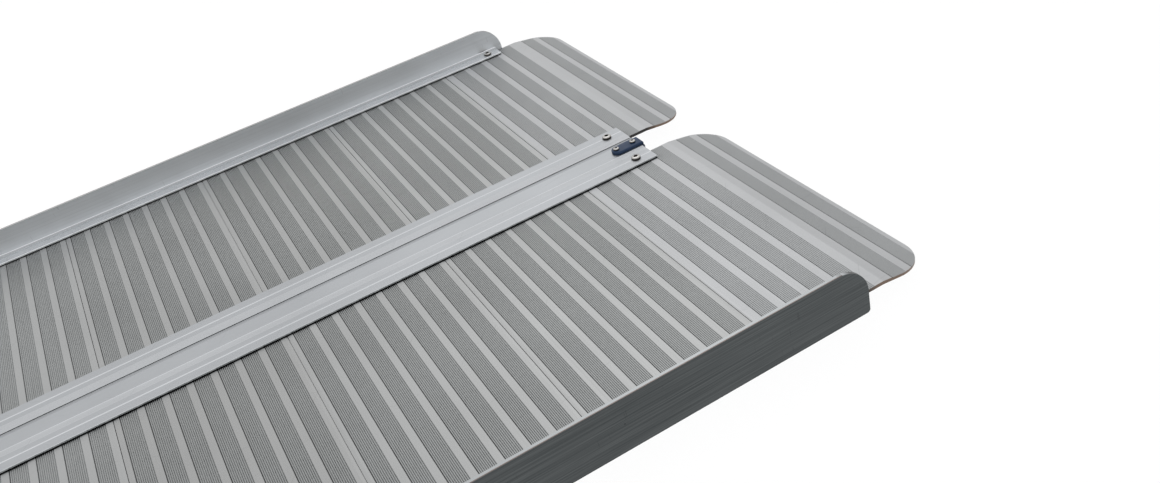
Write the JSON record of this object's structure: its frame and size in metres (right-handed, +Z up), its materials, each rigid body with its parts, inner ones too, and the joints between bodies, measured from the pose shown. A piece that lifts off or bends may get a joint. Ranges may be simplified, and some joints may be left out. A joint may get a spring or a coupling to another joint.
{
  "type": "folding wheelchair ramp",
  "caption": "Portable wheelchair ramp of grooved aluminium planks that folds lengthwise on a central hinge, with side rails, sloping end lips and swinging carry handles.",
  "frame": {"origin": "middle of the open ramp, on the surface that its side rails stand on", "axes": "+X towards the right half, across the ramp; +Y along the way of travel, towards the front lips; +Z up"},
  "size_m": [0.739, 1.524, 0.048],
  "materials": {
    "plank_aluminium": "mill finish, finely grooved extrusion",
    "rail_aluminium": "mill finish with fine lines along the extrusion",
    "hinge_aluminium": "satin, fine lines along the extrusion",
    "pin_steel": "drawn bright steel",
    "navy_plastic": "moulded, satin",
    "fastener_steel": "bright stainless",
    "handle_steel": "zinc plated",
    "grip_rubber": "matt, ringed"
  },
  "bodies": {
    "right_half": {"right_plank_1": "plank_aluminium", "right_plank_2": "plank_aluminium", "right_plank_3": "plank_aluminium", "right_plank_4": "plank_aluminium", "right_plank_5": "plank_aluminium", "right_plank_6": "plank_aluminium", "right_plank_7": "plank_aluminium", "right_plank_8": "plank_aluminium", "right_end_plank_front": "plank_aluminium", "right_end_plank_back": "plank_aluminium", "right_side_rail": "rail_aluminium", "right_hinge_profile": "hinge_aluminium", "right_flange_screws": "fastener_steel", "right_flange_nuts": "fastener_steel", "right_handle_brackets": "handle_steel", "right_handle_rivets": "handle_steel", "hinge_pin": "pin_steel", "front_hinge_cap": "navy_plastic", "back_hinge_cap": "navy_plastic", "hinge_cap_screws": "fastener_steel"},
    "left_half": {"left_plank_1": "plank_aluminium", "left_plank_2": "plank_aluminium", "left_plank_3": "plank_aluminium", "left_plank_4": "plank_aluminium", "left_plank_5": "plank_aluminium", "left_plank_6": "plank_aluminium", "left_plank_7": "plank_aluminium", "left_plank_8": "plank_aluminium", "left_end_plank_front": "plank_aluminium", "left_end_plank_back": "plank_aluminium", "left_side_rail": "rail_aluminium", "left_hinge_profile": "hinge_aluminium", "left_flange_screws": "fastener_steel", "left_flange_nuts": "fastener_steel", "left_handle_brackets": "handle_steel", "left_handle_rivets": "handle_steel"},
    "right_handle": {"right_handle_bail": "handle_steel", "right_handle_grip": "grip_rubber"},
    "left_handle": {"left_handle_bail": "handle_steel", "left_handle_grip": "grip_rubber"}
  },
  "joints": [
    {"name": "fold", "type": "hinge", "parent": "right_half", "child": "left_half", "pos_m": [0, 0, 0.0085], "axis": [0, -1, 0], "range_deg": [0, 176]},
    {"name": "right_handle_swing", "type": "hinge", "parent": "right_half", "child": "right_handle", "pos_m": [0.3625, 0, 0.038], "axis": [0, -1, 0], "range_deg": [0, 180]},
    {"name": "left_handle_swing", "type": "hinge", "parent": "left_half", "child": "left_handle", "pos_m": [-0.3625, 0, 0.038], "axis": [0, 1, 0], "range_deg": [0, 180]}
  ]
}
